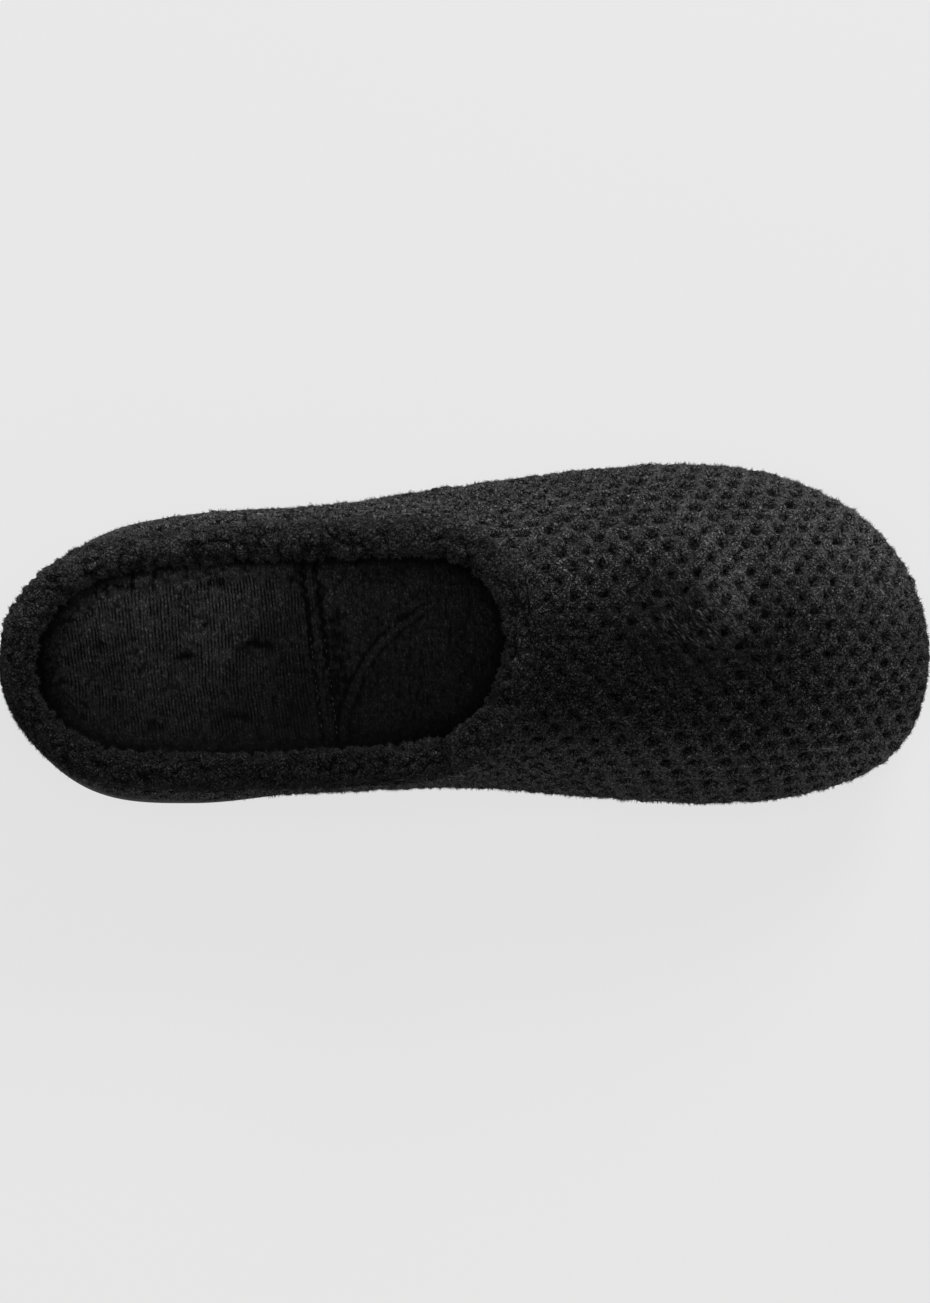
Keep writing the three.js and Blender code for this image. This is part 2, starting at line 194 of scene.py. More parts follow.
class SlipperColours(bpy.types.PropertyGroup):
    """The colours of the slipper's materials"""

    plush: colour("Plush", "Cloth under the pile", (0.0030, 0.0030, 0.0030, 1))
    pile: colour("Pile", "Pile of the upper", (0.345, 0.345, 0.345, 1))
    collar: colour("Collar pile", "Pile of the collar", (0.188, 0.188, 0.188, 1))
    insole: colour("Insole", "Ribbed cloth of the insole", (0.350, 0.350, 0.345, 1))
    thread: colour("Thread", "Stitches of the insole", (0.036, 0.036, 0.035, 1))
    rubber: colour("Rubber", "The outsole", (0.020, 0.020, 0.021, 1))
    floor: colour("Floor", "The studio's floor", (0.80, 0.80, 0.80, 1))


class Value:
    """A number that changes over a surface. Sums and products of values add their Math nodes."""

    def __init__(self, finish, socket):
        self.finish = finish
        self.socket = socket

    def maths(self, operation, *terms):
        node = self.finish.node("ShaderNodeMath", {"operation": operation}, dict(enumerate(terms)))
        return Value(self.finish, node.outputs[0])

    def __add__(self, other):
        return self.maths("ADD", self, other)

    __radd__ = __add__

    def __sub__(self, other):
        return self.maths("SUBTRACT", self, other)

    def __rsub__(self, other):
        return self.maths("SUBTRACT", other, self)

    def __abs__(self):
        return self.maths("ABSOLUTE", self)

    def __mul__(self, other):
        return self.maths("MULTIPLY", self, other)

    __rmul__ = __mul__


class Finish:
    """A material and the nodes that make it."""

    def __init__(self, name, **constants):
        self.material = bpy.data.materials.new(name)
        self.material.use_nodes = True
        self.tree = self.material.node_tree
        self.tree.nodes.clear()
        named = {self.socket_name(key): value for key, value in constants.items()}
        self.shader = self.node("ShaderNodeBsdfPrincipled", inputs=named)
        self.node("ShaderNodeOutputMaterial", inputs={"Surface": self.shader.outputs[0]})
        self.place = self.node("ShaderNodeTexCoord").outputs["Object"]

    @staticmethod
    def socket_name(key):
        return key.replace("_", " ").title().replace("Ior", "IOR")

    def node(self, kind, settings=None, inputs=None):
        """Adds a node, sets what it is first, then sets or links its sockets."""
        made = self.tree.nodes.new(kind)
        for name, value in (settings or {}).items():
            setattr(made, name, value)
        for socket, value in (inputs or {}).items():
            if isinstance(value, Value):
                value = value.socket
            if isinstance(value, bpy.types.NodeSocket):
                self.tree.links.new(value, made.inputs[socket])
            else:
                made.inputs[socket].default_value = value
        return made

    def noise(self, grain, detail=2.0, roughness=0.5, stretch=(1, 1, 1), turn=0.0):
        """A soft random value with features of about `grain` metres, drawn out by `stretch` and turned."""
        where = self.node(
            "ShaderNodeMapping",
            {"vector_type": "TEXTURE"},
            {"Vector": self.place, "Rotation": (0, 0, turn), "Scale": stretch},
        )
        made = self.node(
            "ShaderNodeTexNoise",
            inputs={"Vector": where.outputs[0], "Scale": 1 / grain, "Detail": detail, "Roughness": roughness},
        )
        return Value(self, made.outputs[0])

    def curls(self, grain, **more):
        """Fine curly strands of about `grain` metres: 1 on a strand, 0 in the thin gaps between strands."""
        wide = self.noise(1.7 * grain, detail=0, **more)
        fine = self.noise(grain, detail=1, **more)
        return self.clamped(9 * abs(wide - 0.5) - 0.2) * self.clamped(8 * abs(fine - 0.5) - 0.1)

    def clamped(self, value):
        """The value held between 0 and 1."""
        made = self.node("ShaderNodeClamp", inputs={"Value": value})
        return Value(self, made.outputs[0])

    def attribute(self, name):
        made = self.node("ShaderNodeAttribute", {"attribute_name": name})
        return Value(self, made.outputs["Fac"])

    def blend(self, share, dark, light):
        """A colour from dark to light."""
        made = self.node("ShaderNodeMix", {"data_type": "RGBA"}, {0: share, 6: dark, 7: light})
        return made.outputs[2]

    def set(self, **links):
        for name, value in links.items():
            value = value.socket if isinstance(value, Value) else value
            self.tree.links.new(value, self.shader.inputs[self.socket_name(name)])

    def bump(self, height, distance, strength=1.0):
        inputs = {"Height": height, "Distance": distance, "Strength": strength}
        self.set(normal=self.node("ShaderNodeBump", inputs=inputs).outputs[0])


def scaled(shade, share):
    """A colour at a share of its own strength."""
    return [share * c for c in shade[:3]] + [1]


def cloth_finish(name, sheen, shine=0.04):
    """The matt surface that all the cloths have."""
    return Finish(name, roughness=1.0, sheen_weight=sheen, sheen_roughness=0.4, specular_ior_level=shine)


def plush_finish(name, cloth, pile, sheen, evenness):
    finish = cloth_finish(name, sheen)
    strand = 0.00062
    curls = finish.curls(strand)
    streaks = finish.curls(strand, stretch=(3.0, 0.9, 1), turn=-TURN / 8)
    strands = curls + finish.attribute("stroked") * (streaks - curls)
    strands = evenness + (1 - evenness) * strands
    tufts = 0.5 + 0.5 * finish.clamped(2 * finish.noise(0.0035, detail=2) - 0.3)
    # The hollow attribute holds each piece's painted light and shade as well as its dimples and creases.
    hollow = finish.attribute("hollow")
    share = 0.58 * (1 - hollow) * strands + 0.42 * finish.clamped(1.4 * strands - 1.1 * hollow)
    finish.set(base_color=finish.blend(share * tufts, scaled(cloth, 0.3), pile))
    finish.bump(strands, 0.0005, 1.0)
    return finish.material


def pile_finish(name, cloth, pile, sheen):
    finish = cloth_finish(name, sheen)
    finish.set(base_color=finish.blend(finish.attribute("shade"), cloth, pile))
    return finish.material


def insole_finish(cloth):
    finish = cloth_finish("insole_terry", 0.01, shine=0.03)
    loops = finish.curls(0.0005, stretch=(0.8, 1.6, 1))
    patches = finish.clamped(2.4 * finish.noise(0.012, detail=3) - 0.4)
    # The hollow attribute holds the insole's painted shade as well as its ribs and seams.
    hollow = finish.attribute("hollow")
    share = (1 - hollow) * (0.2 + 0.8 * loops) * (0.5 + 0.5 * patches)
    finish.set(base_color=finish.blend(share, scaled(cloth, 0.015), cloth))
    finish.bump(loops, 0.0003, 1.0)
    return finish.material


def rubber_finish(colour_of_rubber):
    finish = Finish("outsole_rubber", specular_ior_level=0.4)
    grain = finish.noise(0.0007, detail=2)
    marks = finish.noise(0.02, detail=4)
    finish.set(
        base_color=finish.blend(marks, colour_of_rubber, scaled(colour_of_rubber, 1.6)),
        roughness=0.5 + 0.25 * marks,
    )
    finish.bump(grain, 0.0001, 0.5)
    return finish.material


def thread_finish(colour_of_thread):
    finish = Finish("thread", roughness=0.7, sheen_weight=0.2, specular_ior_level=0.3)
    twist = finish.noise(0.0004)
    finish.set(base_color=finish.blend(twist, scaled(colour_of_thread, 0.4), colour_of_thread))
    return finish.material


def smooth(f):
    f = np.clip(f, 0, 1)
    return f * f * (3 - 2 * f)


def lerp(a, b, f):
    return a + (b - a) * f


def quarter(f):
    """A quarter round from 0 to 1."""
    return np.sqrt(1 - (1 - np.clip(f, 0, 1)) ** 2)


def bell(x, width, power=2):
    """1 at 0, fading to nothing a few widths away."""
    return np.exp(-((x / width) ** power))


def column(rows, name, station):
    """A column of an even table at a station from 0 to 1, on a smooth curve that is level at both ends."""
    values = np.array([row[name] for row in rows], float)
    last = len(values) - 1
    at = np.minimum(station * last, last - 1e-9)
    row = np.floor(at).astype(int)
    f = at - row

    def value(r):
        r = np.abs(r)
        return values[np.where(r > last, 2 * last - r, r)]

    a, b, c, d = (value(row + step) for step in (-1, 0, 1, 2))
    return b + 0.5 * f * (c - a + f * (2 * a - 5 * b + 4 * c - d + f * (3 * (b - c) + d - a)))


def station_of(t):
    """t runs from 0 at the heel along the lateral side to 0.5 at the toe and back along the medial side."""
    return 1 - np.abs(1 - 2 * np.mod(t, 1))


def side_of(t):
    return np.where(np.mod(t, 1) <= 0.5, 1.0, -1.0)


def unit(vectors):
    return vectors / np.maximum(np.linalg.norm(vectors, axis=-1, keepdims=True), 1e-12)


def outward(line, t):
    """The level outward direction of a loop at t."""
    step = 1e-4
    along = line(t + step) - line(t - step)
    return unit(np.stack([-along[..., 1], along[..., 0], 0 * along[..., 0]], -1))


def run_along(points):
    """The distance of each point from the first one along their line."""
    return np.concatenate([[0], np.cumsum(np.linalg.norm(np.diff(points, axis=0), axis=1))])


def even_places(line, count):
    """Places round a loop that are evenly spaced along it."""
    fine = np.linspace(0, 1, 4001)
    run = run_along(line(fine))
    return np.interp(np.arange(count) / count * run[-1], run, fine)


class Last:
    """The slipper's form, worked out from the sizes."""

    def __init__(self, form):
        for name in form.bl_rna.properties.keys():
            value = getattr(form, name)
            if isinstance(value, float):
                setattr(self, name, value if name == "vamp_bow" else value / MM)
        self.half_length = self.length / 2
        self.half_ball = self.ball_width / 2
        self.back = -self.half_length + self.sole_lip - self.tuck * SECTIONS[0]["tuck"]

    def loop(self, t, back, front, centre, half_width):
        angle = math.pi * station_of(t)
        x = (back + front) / 2 - (front - back) / 2 * np.cos(angle)
        y = centre + side_of(t) * half_width * np.sin(angle)
        return np.stack(np.broadcast_arrays(x, y, 0 * x), -1)

    def widest(self, t):
        s = station_of(t)
        centre = column(SECTIONS, "centre", s) * self.half_ball
        half_width = column(SECTIONS, "fullness", s) * self.half_ball
        return self.loop(t, self.back, self.half_length, centre, half_width)

    def shares(self, points):
        """Where points lie along and across the slipper, in half lengths and half ball widths."""
        return points[..., 0] / self.half_length, points[..., 1] / self.half_ball

    def sole_line(self, t):
        lip = self.sole_lip - column(SECTIONS, "tuck", station_of(t)) * self.tuck
        return self.widest(t) + outward(self.widest, t) * lip[..., None]

    def sole_top(self, x):
        place = x / self.half_length
        spring = self.toe_spring * np.clip((place - 0.52) / 0.48, 0, 1) ** 2
        return spring + lerp(self.sole_heel, self.sole_ball, smooth((place + 0.35) / 0.7))

    def waist(self, x):
        place = x / self.half_length
        return np.sin(math.pi * np.clip((place + 0.36) / 0.5, 0, 1)) ** 2

    def collar(self, t):
        s = station_of(t)
        back = -self.half_length + self.collar_setback
        centre = column(COLLAR, "centre", s) * self.half_ball
        half_width = column(COLLAR, "fullness", s) * self.collar_width / 2
        point = self.loop(t, back, back + self.collar_length, centre, half_width)
        point[..., 2] = column(COLLAR, "height", s) * self.throat_height
        return point

    def roll(self, t, angle, more=0.0):
        """A point on the roll's skin, grown by `more`, at an angle above its outward direction."""
        along = outward(self.collar, t)
        level = (self.collar_thickness / 2 + more) * np.cos(angle)
        rise = (self.collar_depth / 2 + more) * np.sin(angle)
        return self.collar(t) + along * level[..., None] + np.array([0, 0, 1.0]) * rise[..., None]

    def seam(self, t):
        """Where the upper's profile at t meets the roll, and its place round the collar."""
        reach = column(SECTIONS, "reach", station_of(t))
        to = np.where(side_of(t) > 0, reach / 2, 1 - reach / 2)
        angle = np.radians(column(COLLAR, "seam", station_of(to)))
        return self.roll(to, angle, self.seam_lip * np.maximum(0, np.sin(angle))), to

    def skin(self, t, rise):
        """The upper's outer skin. Rise is -1 at its foot, 0 at the widest line and 1 at the seam."""
        t, rise = np.broadcast_arrays(t, rise)
        s = station_of(t)
        widest = self.widest(t)
        foot = self.sole_top(widest[..., 0]) + self.fit_gap
        wide_height = foot + self.widest_rise
        under = 1 - quarter(1 + np.minimum(rise, 0))
        low = widest - outward(self.widest, t) * (column(SECTIONS, "tuck", s) * self.tuck * under)[..., None]
        low[..., 2] = lerp(foot, wide_height, 1 + np.minimum(rise, 0))
        seam, _ = self.seam(t)
        run = np.hypot(seam[..., 0] - widest[..., 0], seam[..., 1] - widest[..., 1])
        inwards = np.maximum(rise, 0) ** 2
        rounding = column(SECTIONS, "rounding", s) * self.vamp_rounding
        turned = quarter(run * inwards / rounding) / quarter(run / rounding)
        shoulder = foot + column(SECTIONS, "shoulder", s) * self.toe_shoulder
        top = lerp(shoulder, seam[..., 2], inwards) + self.vamp_bow * run * inwards * (1 - inwards)
        high = lerp(widest, seam, inwards[..., None])
        high[..., 2] = lerp(wide_height, top, turned)
        return np.where((rise <= 0)[..., None], low, high)

    def insole_top(self, x, y):
        s = np.arccos(1 - 2 * np.clip((x - self.back) / (self.half_length - self.back), 0, 1)) / math.pi
        centre = column(SECTIONS, "centre", s) * self.half_ball
        edge = column(SECTIONS, "fullness", s) * self.half_ball * np.sin(math.pi * s) + 1e-6
        across = np.minimum(1, np.abs(y - centre) / edge)
        cup = self.insole_cup * np.maximum(across**4, np.abs(2 * s - 1) ** 8)
        pad = self.arch_pad * self.waist(x) * smooth((centre - y) / edge)
        return self.sole_top(x) + self.fit_gap + self.insole_thickness + cup + pad


def wander(points, grain, seed=0.0):
    """Smooth random values from -1 to 1 with features of about `grain` millimetres."""
    flat = points.reshape(-1, 3) / grain + seed
    made = np.array([noise.noise(Vector(p)) for p in flat])
    return made.reshape(points.shape[:-1])


def wander_3(points, grain, seed):
    """Smooth random vectors with features of about `grain` millimetres."""
    return np.stack([wander(points, grain, seed + axis) for axis in range(3)], -1)


def clumps(points, grain, seed=0.0):
    """Round lumps of about `grain` millimetres with creases between them, from 0 in a crease to 1."""
    flat = points.reshape(-1, 3) / grain + seed
    nearest = np.array([noise.voronoi(Vector(p))[0][:2] for p in flat])
    lump = smooth((nearest[:, 1] - nearest[:, 0]) / 0.55)
    return lump.reshape(points.shape[:-1])


def normals_of(grid, closed_rows=False):
    """Outward normals of a grid that is closed round its first axis."""
    along = np.roll(grid, -1, 0) - np.roll(grid, 1, 0)
    up = np.roll(grid, -1, 1) - np.roll(grid, 1, 1) if closed_rows else np.gradient(grid, axis=1)
    return unit(np.cross(up, along))


def slope_of(grid, values):
    """How the values rise over a grid that is closed round its first axis, as vectors per millimetre."""
    along = np.roll(grid, -1, 0) - np.roll(grid, 1, 0)
    up = np.gradient(grid, axis=1)
    step_along = np.linalg.norm(along, axis=-1, keepdims=True) + 1e-6
    step_up = np.linalg.norm(up, axis=-1, keepdims=True) + 1e-6
    rise_along = (np.roll(values, -1, 0) - np.roll(values, 1, 0))[..., None] / step_along
    rise_up = np.gradient(values, axis=1)[..., None] / step_up
    return along / step_along * rise_along + up / step_up * rise_up


def profile_grid(last, around, rows):
    """The upper's outer skin on even places: points, and the distance of each from the seam."""
    t = even_places(last.widest, around)
    fine = last.skin(t[:, None], np.linspace(-1, 1, 321)[None, :])
    run = np.cumsum(np.linalg.norm(np.diff(fine, axis=1), axis=2), axis=1)
    run = np.concatenate([np.zeros((around, 1)), run], 1)
    share = np.linspace(0, 1, rows)
    grid = np.empty((around, rows, 3))
    for i in range(around):
        for axis in range(3):
            grid[i, :, axis] = np.interp(share * run[i, -1], run[i], fine[i, :, axis])
    return t, grid, run[:, -1:] * (1 - share[None, :])


def cloth_places(last, t, from_seam):
    """Where each point of the upper lies on its cloth when the cloth is laid out flat, in millimetres.

    The cloth runs outwards from the collar over the vamp, and straight along the sides to the heel."""
    seam, _ = last.seam(t)
    widest = last.widest(t)
    s, side = station_of(t), side_of(t)
    heading = unit((widest - seam)[:, :2])
    turn_in = 0.4
    u_side, v_side = np.empty_like(t), np.empty_like(t)
    for sign in (1, -1):
        mine = side == sign
        fine = np.linspace(0, 0.5, 1001)
        line = last.widest(fine if sign > 0 else 1 - fine)
        run = run_along(line)
        at_turn = np.interp(turn_in / 2, fine, run)
        behind = np.interp(s[mine] / 2, fine, run) - at_turn
        x_turn = np.interp(turn_in / 2, fine, line[:, 0])
        u_side[mine] = np.where(behind < 0, x_turn + behind, widest[mine, 0])
        ring = last.seam(np.array([turn_in / 2 if sign > 0 else 1 - turn_in / 2]))[0]
        v_side[mine] = ring[0, 1]
    front = smooth((s - turn_in) / 0.22)[:, None]
    u = lerp(u_side[:, None], seam[:, :1] + heading[:, :1] * from_seam, front)
    v = lerp(v_side[:, None] + side[:, None] * from_seam, seam[:, 1:2] + heading[:, 1:] * from_seam, front)
    return u, v


def dimples(u, v, joined, plush):
    """1 in the middle of a dimple, -1 on a puff between them. Where `joined` grows, a row runs together."""
    pitch, rows = plush.dimple_pitch / MM, plush.dimple_rows / MM
    return np.cos(TURN * u / pitch) * np.cos(math.pi * v / rows) + joined * np.cos(TURN * v / rows)


def crease_height(last, grid):
    """The soft ridges and troughs at each point of the vamp."""
    scale = np.array([last.half_length, last.half_ball])
    place = grid[..., :2]
    total = np.zeros(grid.shape[:-1])
    for crease in CREASES:
        a, b = np.array(crease["back"]) * scale, np.array(crease["front"]) * scale
        along = np.clip(((place - a) @ (b - a)) / ((b - a) @ (b - a)), 0, 1)
        away = np.linalg.norm(place - a - along[..., None] * (b - a), axis=-1)
        total += crease["height"] * bell(away, crease["width"])
    return total * smooth((grid[..., 2] - 25) / 10)


def placed(name, data):
    """A new object with this data in the scene."""
    made = bpy.data.objects.new(name, data)
    bpy.context.scene.collection.objects.link(made)
    return made


def add_piece(name, mesh):
    """Puts a finished mesh in the scene as a piece of the slipper."""
    piece = placed(name, mesh)
    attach(piece, "root")
    return piece


def new_piece(name, points, faces, material, smooth_shading=True):
    """A mesh piece of the slipper. Points are in millimetres."""
    mesh = bpy.data.meshes.new(name)
    points = np.asarray(points, np.float32).reshape(-1, 3) * MM
    faces = np.asarray(faces, np.int32)
    corners = faces.shape[1]
    mesh.vertices.add(len(points))
    mesh.vertices.foreach_set("co", points.ravel())
    mesh.loops.add(faces.size)
    mesh.loops.foreach_set("vertex_index", faces.ravel())
    mesh.polygons.add(len(faces))
    mesh.polygons.foreach_set("loop_start", np.arange(0, faces.size, corners, dtype=np.int32))
    mesh.polygons.foreach_set("use_smooth", np.full(len(faces), smooth_shading))
    mesh.update(calc_edges=True)
    if mesh.validate():
        raise RuntimeError(f"{name}: a face of the mesh is bad")
    mesh.materials.append(material)
    return add_piece(name, mesh)


def set_attribute(piece, name, values):
    """Gives each point of a piece a number that its finish can read."""
    layer = piece.data.attributes.new(name, "FLOAT", "POINT")
    layer.data.foreach_set("value", np.asarray(values, np.float32).ravel())


def ring_faces(around, rows, closed_rows):
    """Faces of a grid that is closed round its first axis, and round its second if closed_rows."""
    i = np.arange(around)[:, None]
    j = np.arange(rows if closed_rows else rows - 1)[None, :]
    k, m = (i + 1) % around, (j + 1) % rows
    return np.stack([i * rows + j, i * rows + m, k * rows + m, k * rows + j], -1).reshape(-1, 4)


def tree_of(points):
    """A search tree of the points, each under its own number."""
    tree = KDTree(len(points))
    for index, point in enumerate(points):
        tree.insert(point, index)
    tree.balance()
    return tree


def spread(points, spacing):
    """Which of the points to keep so that no two are much nearer than the spacing."""
    tree = tree_of(points)
    kept = np.ones(len(points), bool)
    for index, point in enumerate(points):
        if kept[index]:
            near = [other for _, other, _ in tree.find_range(point, 0.72 * spacing) if other > index]
            kept[near] = False
    return kept


def tuft_places(grid, weight, spacing, draw):
    """Random places of tufts on a grid that is closed round its first axis: cells and shares inside them."""
    here, there = grid[:, :-1], np.roll(grid, -1, 0)[:, :-1]
    area = np.linalg.norm(np.cross(there - here, grid[:, 1:] - here), axis=-1)
    count = int(2.4 * area.sum() / spacing**2)
    rows = grid.shape[1] - 1
    cell = draw.choice(area.size, count, p=area.ravel() / area.sum())
    i, j = cell // rows, cell % rows
    f, g = draw.random((2, count, 1))
    k = (i + 1) % len(grid)
    place = lerp(lerp(grid[i, j], grid[k, j], f), lerp(grid[i, j + 1], grid[k, j + 1], f), g)
    kept = spread(place, spacing) & (draw.random(count) < weight[i, j])
    return i[kept], j[kept], place[kept]


def pile(names, grid, normals, hollow, weight, painted_light, lean, contrast, plush, seed, material, slot):
    """Short strands in tufts that stand on a grid, each a thin closed spike, split along the slipper."""
    draw = np.random.default_rng(seed)
    spacing, strands = plush.tuft / MM, plush.strands
    i, j, centre = tuft_places(grid, weight, spacing, draw)
    up = normals[i, j]
    along = unit(np.roll(grid, -1, 0)[i, j] - grid[i, j])
    cross = np.cross(up, along)
    count = len(i)
    deep = np.clip(hollow[i, j], 0, 1)[:, None]
    tilt = lean[i, j]
    loose = 0.45 / (0.7 + np.linalg.norm(tilt, axis=-1, keepdims=True))
    sway = along * draw.normal(0, 1, (count, 1)) + cross * draw.normal(0, 1, (count, 1))
    heading = 0.65 * up + tilt + loose * sway
    reach = plush.pile_length / MM * (0.7 + 0.3 * draw.random((count, 1))) * (1 - 0.45 * deep)
    tuft_tip = centre + unit(heading) * reach
    # Tips are painted darker in the dimples as painted shade, and carry the pile's painted light.
    light = (1 - 0.9 * deep) * painted_light[i, j][:, None]
    chance = 1 - contrast * draw.random((count, 1))
    tone = 0.6 * chance * light + 0.4 * np.clip(1.3 * chance - 1.1 * (1 - light), 0, 1)
    ring = TURN * (np.arange(strands)[None, :, None] / strands + draw.random((count, 1, 1)))
    radius = spacing * 0.42 * np.sqrt(0.25 + 0.75 * draw.random((count, strands, 1)))
    root = centre[:, None] + along[:, None] * np.cos(ring) * radius + cross[:, None] * np.sin(ring) * radius
    gathered, crooked, buried, root_shade = 0.45, 0.16, 0.3, 0.25
    tip = lerp(root + (tuft_tip - centre)[:, None], tuft_tip[:, None], gathered)
    tip = tip + draw.normal(0, crooked, root.shape)
    root, tip = root.reshape(-1, 3), tip.reshape(-1, 3)
    direction = unit(tip - root)
    side = unit(np.cross(direction, np.repeat(along + 0.1 * up, strands, 0)))
    third = np.cross(direction, side)
    base = root - direction * buried
    width = plush.pile_width / MM / 2 * (0.7 + 0.5 * draw.random((len(root), 1)))
    corners = [base + width * (side * math.cos(a) + third * math.sin(a)) for a in (0, TURN / 3, 2 * TURN / 3)]
    points = np.stack([*corners, tip], 1)
    shade = np.repeat(tone, strands, 0) * (0.75 + 0.25 * draw.random((len(root), 1)))
    shade = shade * np.array([root_shade, root_shade, root_shade, 1])
    order = np.argsort(root[:, 0])
    for name, part in zip(names, np.array_split(order, len(names))):
        first = 4 * np.arange(len(part))[:, None, None]
        faces = (first + np.array([[0, 1, 3], [1, 2, 3], [2, 0, 3], [2, 1, 0]])).reshape(-1, 3)
        piece = new_piece(name, points[part], faces, material, smooth_shading=False)
        set_attribute(piece, "shade", shade[part])


def sizes_and_colours(scene):
    return Last(scene.slipper_form), scene.slipper_plush, scene.slipper_colours


def patch(grid, x, y, length, width):
    """A soft patch that is 1 at x, y and fades away from there, in millimetres."""
    return np.exp(-(((grid[..., 0] - x) / length) ** 2 + ((grid[..., 1] - y) / width) ** 2))


class UpperOperator(bpy.types.Operator):
    """Adds the dimpled plush upper with its wall and its pile"""

    bl_idname = "slipper.add_upper"
    bl_label = "Upper"

    def execute(self, context):
        last, plush, colours = sizes_and_colours(context.scene)
        around, rows, inside_rows = 760, 116, 12
        t, grid, from_seam = profile_grid(last, around, rows)
        out = normals_of(grid)
        u, v = cloth_places(last, t, from_seam)
        v = v - 0.06 * u
        u = u + 0.8 * wander(grid, 9.0, 3.1) + 0.35 * wander(grid, 3.0, 0.4)
        v = v + 0.5 * wander(grid, 8.0, 7.7) + 0.25 * wander(grid, 3.0, 2.4)
        along, across = last.shares(grid)
        steep = smooth((np.abs(across) - 0.4) / 0.4)
        outer_waist = smooth((across - 0.42) / 0.25) * (1 - smooth((along - 0.3) / 0.25))
        lattice = dimples(u, v, 0.55 * steep + 0.35 * outer_waist, plush)
        pattern = lattice + 0.42 * wander(grid, 1.5, 6.1)
        from_foot = from_seam[:, :1] - from_seam
        flattened = patch(grid, 50, -9, 20, 17)
        stroked = patch(grid, 60, 2, 15, 12)
        held = smooth(from_seam / lerp(9, 3, outer_waist)) * smooth((from_foot - 1) / 5)
        inner_side = smooth((-across - 0.3) / 0.4) * smooth((along + 0.45) / 0.2)
        strength = lerp(0.3, 1, held) * (1 - 0.6 * flattened) * (0.9 + 0.7 * wander(grid, 6.0, 1.3))
        strength *= 1 + 0.45 * np.maximum(inner_side, steep) + 0.5 * outer_waist
        hollow = smooth((pattern - 0.3) / 0.38) * np.clip(strength, 0, 1.2)
        puff = np.clip(-pattern, 0, 1) * strength
        depth = plush.dimple_depth / MM
        lumps = clumps(grid, 1.9, 4.0)
        creases = crease_height(last, grid)
        height = -depth * hollow + 0.5 * puff + creases + 0.3 * (lumps - 0.6)
        low_heel = smooth((0.45 - station_of(t)) / 0.2)[:, None] * smooth((32 - grid[..., 2]) / 12)
        low_heel = low_heel * lerp(0.3, 0.9, smooth(0.5 - across))
        height += 0.3 * wander(grid, 2.6, 5.0) - plush.pile_inset / MM * (1 + low_heel - inner_side)
        skin = grid + out * (height * smooth(from_foot / 2.5))[..., None]
        rows_in = np.linspace(rows - 1, 0, inside_rows).astype(int)
        lining = grid[:, rows_in] - out[:, rows_in] * last.wall
        shell = np.concatenate([skin, lining], 1)
        cloth, tips = colours.plush[:], colours.pile[:]
        finish = plush_finish("upper_plush", cloth, tips, 0.05, evenness=0.05)
        faces = ring_faces(around, rows + inside_rows, True)
        piece = new_piece("upper_plush", shell, faces, finish)
        # Painted light of the pile, with a painted highlight on the vamp's ridges and painted shade in its
        # troughs.
        painted_light = np.clip(self.painted_light(last, grid) * (1 + 0.2 * creases), 0, 1)
        # Painted shade around each dimple, stronger on the steep and medial sides.
        pit_shade = lerp(0.4, 0.72, np.maximum(inner_side, steep)) * smooth((lattice + 0.2) / 0.9)
        pit_shade *= np.clip(strength, 0, 1)
        # Painted shade in the dimples and in the creases between lumps, over the painted light.
        light = painted_light * (1 - np.clip(hollow * 1.4, 0, 1)) * (1 - pit_shade) * (0.6 + 0.4 * lumps)
        dark = np.clip(1 - light, 0, 1)
        # The lining rows inside the upper are painted fully dark, as painted shade.
        set_attribute(piece, "hollow", np.concatenate([dark, np.ones((around, inside_rows))], 1))
        set_attribute(piece, "stroked", np.concatenate([stroked, np.zeros((around, inside_rows))], 1))
        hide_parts("upper")
        weight = np.clip(1.05 - 1.2 * np.clip(hollow, 0, 1), 0, 1) * smooth(from_foot / 2)
        swept = np.array([0.9, -0.9, 0]) * stroked[..., None]
        drift = 0.45 * wander_3(grid, 4.0, 11.0)
        away = -0.7 * slope_of(grid, smooth((pattern + 0.3) / 1.1)) * np.clip(strength, 0, 1)[..., None]
        away *= 1 + 0.9 * outer_waist[..., None]
        # The pile's painted light also takes the painted shade around the dimples.
        painted_light = painted_light * (1 - pit_shade)
        names = ["upper_pile_heel", "upper_pile_instep", "upper_pile_toe"]
        finish = pile_finish("upper_pile", cloth, tips, 0.16)
        lean = swept + drift + away
        pile(names, skin, normals_of(skin), hollow, weight, painted_light, lean, 0.6, plush, 11, finish, "upper_plush")
        return {"FINISHED"}

    @staticmethod
    def painted_light(last, grid):
        """Painted light and shade of the pile: lighter laterally and at the toe, darker medially."""
        along, across = last.shares(grid)
        # Lighter on the lit lateral side, darker on the shaded medial slope, lighter at the medial edge as
        # painted sheen.
        side = lerp(0.115, 0.76, smooth((across + 0.12) / 0.85)) + 0.45 * smooth((-across - 0.42) / 0.35)
        toe = 0.4 * smooth((along - 0.57) / 0.36)
        # Painted highlight along the vamp's ridge.
        ridge = 0.42 * np.exp(-(((along - 0.55) / 0.055) ** 2) - (((across - 0.2) / 0.3) ** 2))
        # Painted sheen low down, mostly on the medial side.
        low = 0.27 * smooth((24 - grid[..., 2]) / 10) * smooth((0.2 - across) / 0.6)
        return np.clip(side + toe + ridge + low, 0, 1)


